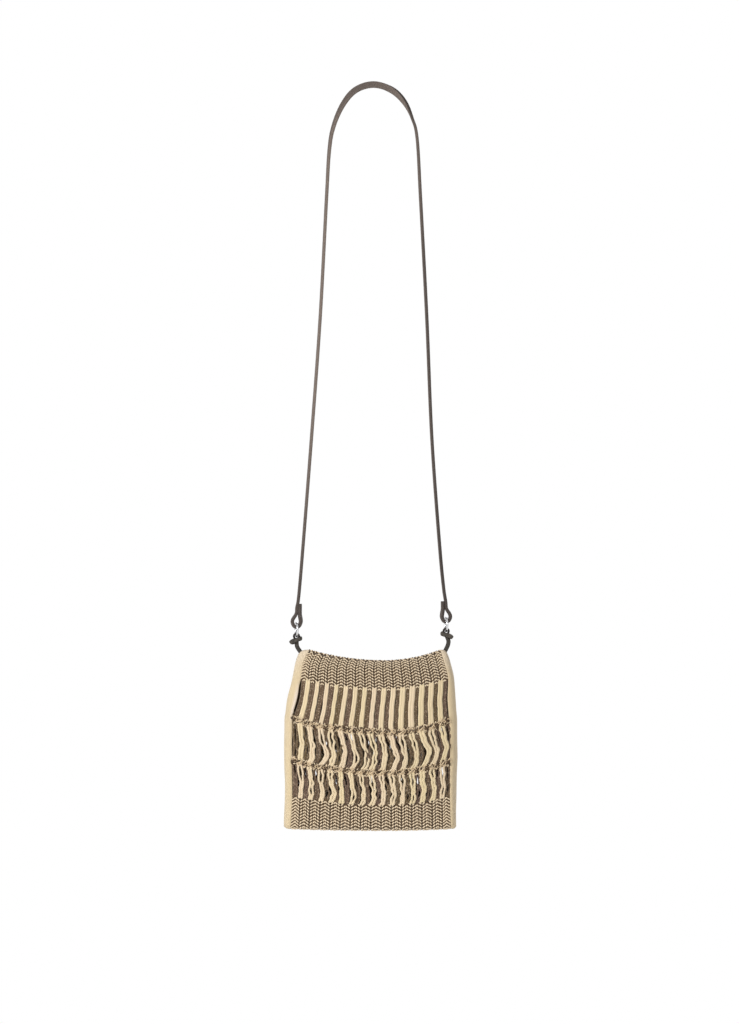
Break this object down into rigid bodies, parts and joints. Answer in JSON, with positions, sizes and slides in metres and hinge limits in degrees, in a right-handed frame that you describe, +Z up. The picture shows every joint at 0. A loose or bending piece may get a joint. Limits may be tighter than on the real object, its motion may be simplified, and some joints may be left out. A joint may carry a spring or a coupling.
{
  "type": "crossbody net bag",
  "caption": "Small open crossbody bag of striped knitted net with plain knitted side gussets, laced to metal rings on a long flat leather strap.",
  "frame": {"origin": "under the crown of the strap, where a hook, peg or shoulder carries the bag", "axes": "+Z up, with the bag hanging below; +Y from the front of the bag to its back; +X to the right as seen from the front"},
  "size_m": [0.186, 0.0671, 0.8021],
  "materials": {
    "net": "knitted net of flat dark brown and cream strands",
    "gusset": "fine cream rib knit, matt",
    "strap": "smooth dark taupe leather with dark cut edges",
    "lace": "soft dark leather lace",
    "ring": "polished silver-coloured metal"
  },
  "bodies": {
    "root": {"net_cloth": "net", "gusset_left": "gusset", "gusset_right": "gusset", "strap": "strap", "ring_left": "ring", "ring_right": "ring", "lace_left": "lace", "lace_right": "lace"}
  },
  "joints": []
}
